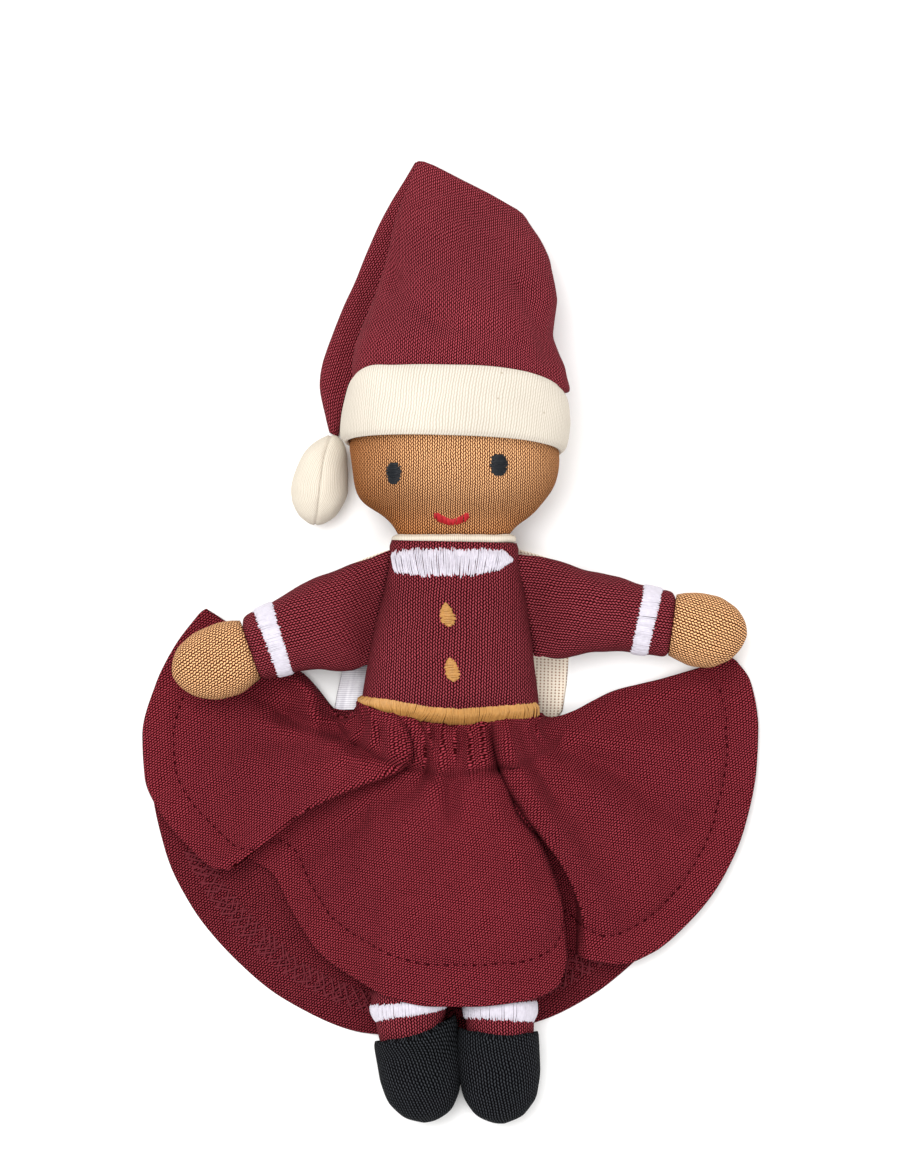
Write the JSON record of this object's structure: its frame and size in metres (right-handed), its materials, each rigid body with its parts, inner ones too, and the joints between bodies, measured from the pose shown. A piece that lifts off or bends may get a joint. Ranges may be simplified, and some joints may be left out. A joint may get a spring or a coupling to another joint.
{
  "type": "mrs claus doll",
  "caption": "Soft knitted doll with a round skirt, a cape, stuffed limbs sewn on at seams, and a folded stocking hat with a bobble.",
  "frame": {"origin": "under the middle of the doll, on the surface it lies on", "axes": "+Y from the boots to the hat, +Z out of the doll's front, +X to the right as the doll is looked at"},
  "size_m": [0.1523, 0.2421, 0.0463],
  "materials": {
    "burgundy_knit": "brushed jersey knit",
    "tan_knit": "jersey knit",
    "cream_knit": "open rib knit",
    "mustard_thread": "satin stitch",
    "white_thread": "satin stitch",
    "black_knit": "jersey knit",
    "black_thread": "satin stitch",
    "red_thread": "running stitch",
    "satin": "satin weave",
    "filling": "loose fibre"
  },
  "bodies": {
    "torso": {"torso_skin": "burgundy_knit", "torso_stuffing": "filling", "collar": "white_thread", "button_top": "mustard_thread", "button_bottom": "mustard_thread", "belt": "mustard_thread", "neck_band": "cream_knit", "cape": "cream_knit", "satin_ribbon": "satin", "skirt_front": "burgundy_knit", "skirt_back": "burgundy_knit"},
    "head": {"head_skin": "tan_knit", "head_stuffing": "filling", "eye_left": "black_thread", "eye_right": "black_thread", "mouth": "red_thread", "hat_crown": "burgundy_knit", "hat_brim": "cream_knit"},
    "hat_tail": {"hat_tail": "burgundy_knit"},
    "bobble": {"bobble_panel_left": "cream_knit", "bobble_panel_right": "cream_knit", "bobble_stuffing": "filling"},
    "arm_left": {"sleeve_left": "burgundy_knit", "wrist_band_left": "white_thread", "hand_left": "tan_knit", "arm_stuffing_left": "filling"},
    "arm_right": {"sleeve_right": "burgundy_knit", "wrist_band_right": "white_thread", "hand_right": "tan_knit", "arm_stuffing_right": "filling"},
    "lap": {"hip_strip": "burgundy_knit"},
    "leg_left": {"stocking_left": "burgundy_knit", "ankle_band_left": "white_thread", "boot_left": "black_knit", "leg_stuffing_left": "filling"},
    "leg_right": {"stocking_right": "burgundy_knit", "ankle_band_right": "white_thread", "boot_right": "black_knit", "leg_stuffing_right": "filling"}
  },
  "joints": [
    {"name": "neck_nod", "type": "hinge", "parent": "torso", "child": "head", "pos_m": [0.001, 0.0274, 0.014], "axis": [1, 0, 0], "range_deg": [-20, 22]},
    {"name": "shoulder_left", "type": "hinge", "parent": "torso", "child": "arm_left", "pos_m": [-0.0184, 0.00849, 0.01458], "axis": [0.1889, 0.982, 0], "range_deg": [0, 55]},
    {"name": "shoulder_right", "type": "hinge", "parent": "torso", "child": "arm_right", "pos_m": [0.01999, 0.00849, 0.01458], "axis": [0.1866, -0.9824, 0], "range_deg": [0, 55]},
    {"name": "lap_fold", "type": "hinge", "parent": "torso", "child": "lap", "pos_m": [0, -0.02615, 0.01], "axis": [-1, 0, 0], "range_deg": [0, 75], "deforming": ["skirt_front"]},
    {"name": "splay_left", "type": "hinge", "parent": "lap", "child": "leg_left", "pos_m": [-0.0113, -0.03069, 0.01], "axis": [0, 0, -1], "range_deg": [0, 8]},
    {"name": "splay_right", "type": "hinge", "parent": "lap", "child": "leg_right", "pos_m": [0.0113, -0.03069, 0.01], "axis": [0, 0, 1], "range_deg": [0, 8]},
    {"name": "tail_unfold", "type": "hinge", "parent": "head", "child": "hat_tail", "pos_m": [0.0052, 0.1139, 0.00525], "axis": [0.887, -0.4617, 0], "range_deg": [0, 175]},
    {"name": "bobble_swing", "type": "hinge", "parent": "hat_tail", "child": "bobble", "pos_m": [-0.02949, 0.05268, 0.0025], "axis": [0, 0, -1], "range_deg": [0, 35]}
  ]
}
